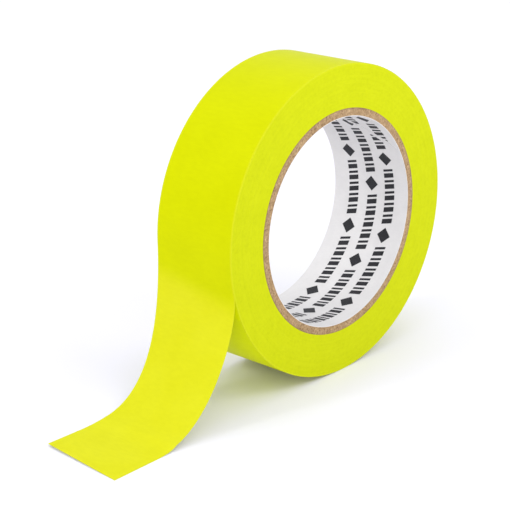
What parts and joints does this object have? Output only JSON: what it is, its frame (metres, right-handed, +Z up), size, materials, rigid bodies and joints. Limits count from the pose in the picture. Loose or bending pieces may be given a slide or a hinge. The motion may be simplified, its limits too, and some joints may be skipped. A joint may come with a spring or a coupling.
{
  "type": "masking tape roll",
  "caption": "Roll of yellow paper masking tape on a board core with a printed paper liner, standing on its rim with the tape's free end swept down to the floor.",
  "frame": {"origin": "floor point under the roll's axis, at the middle of the tape's width", "axes": "+Z up, Y along the roll's axis with the front side face towards -Y, the free end of the tape towards -X"},
  "size_m": [0.1695, 0.035, 0.1136],
  "materials": {
    "tape_paper": "smooth translucent paper with a satin release coat",
    "core_board": "matt brown board, cut edge",
    "liner_paper": "smooth white printed paper"
  },
  "bodies": {
    "outer_turns": {"outer_turns": "tape_paper"},
    "roll": {"core_liner": "liner_paper", "core_ply_1": "core_board", "core_ply_2": "core_board", "core_ply_3": "core_board", "core_ply_4": "core_board", "core_ply_5": "core_board", "wound_tape": "tape_paper"},
    "tail_upper": {"tail_upper": "tape_paper"},
    "tail_sweep": {"tail_sweep": "tape_paper"},
    "tail_foot": {"tail_foot": "tape_paper"}
  },
  "joints": [
    {"name": "roll_turn", "type": "hinge", "parent": "outer_turns", "child": "roll", "pos_m": [0, 0, 0.0568], "axis": [0, 1, 0], "continuous": true},
    {"name": "tail_peel", "type": "hinge", "parent": "outer_turns", "child": "tail_upper", "pos_m": [-0.05691, 0, 0.05152], "axis": [0, 1, 0], "range_deg": [0, 110], "stiffness_Nm_per_rad": 0.0004},
    {"name": "tail_bend", "type": "hinge", "parent": "tail_upper", "child": "tail_sweep", "pos_m": [-0.06777, 0, 0.01283], "axis": [0, 1, 0], "range_deg": [-55, 0], "stiffness_Nm_per_rad": 0.0003},
    {"name": "tail_lift", "type": "hinge", "parent": "tail_sweep", "child": "tail_foot", "pos_m": [-0.0949, 0, 0.00005], "axis": [0, 1, 0], "range_deg": [0, 90], "stiffness_Nm_per_rad": 0.0002}
  ],
  "couplings": [
    {"joint": "tail_bend", "follows": "tail_peel", "ratio": -0.5}
  ]
}
